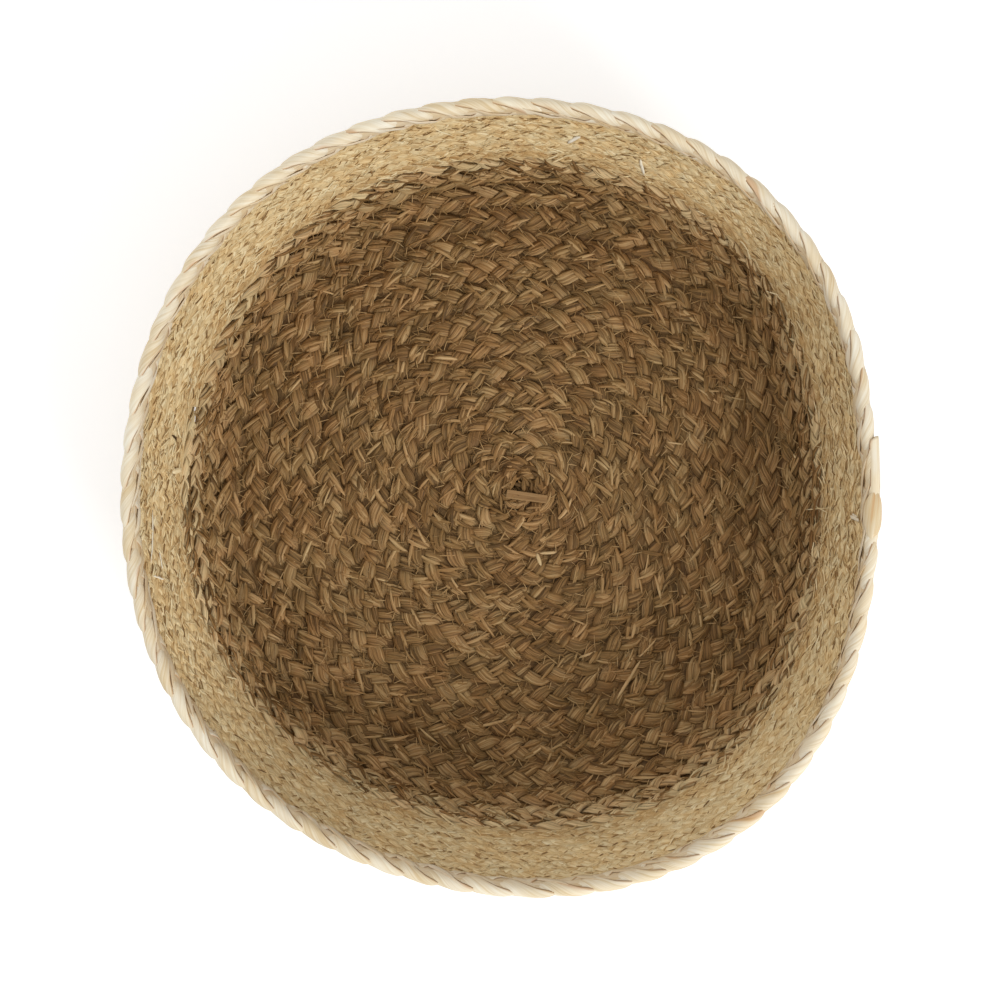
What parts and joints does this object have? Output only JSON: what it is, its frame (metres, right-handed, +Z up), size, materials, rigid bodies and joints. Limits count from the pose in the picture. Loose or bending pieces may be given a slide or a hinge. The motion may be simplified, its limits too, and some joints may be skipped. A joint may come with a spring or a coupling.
{
  "type": "round storage basket",
  "caption": "Low round open storage basket of sewn spiral plaits: flat coiled base, rounded corner, flared wall with a fine plait, thick plaited rim.",
  "frame": {"origin": "middle of the outline, on the surface that the basket stands on", "axes": "+Z up through the open mouth, +X towards the side where the rim's ends meet, +Y to the top of the picture"},
  "size_m": [0.284, 0.2974, 0.0723],
  "materials": {
    "brown_fibre": "dry flat plant fibre, dull, uneven in colour",
    "pale_fibre": "dry fine plant fibre, matt",
    "husk": "smooth dry husk with a soft sheen and orange edges",
    "thread": "thin sewing thread, slightly shiny",
    "strip": "flat plant strip, dull"
  },
  "bodies": {
    "root": {"brown_braid": "brown_fibre", "pale_braid": "pale_fibre", "rim_braid": "husk", "brown_seam_thread": "thread", "pale_seam_thread": "thread", "rim_seam_thread": "thread", "rim_splice_strip": "husk", "centre_strip": "strip"}
  },
  "joints": []
}
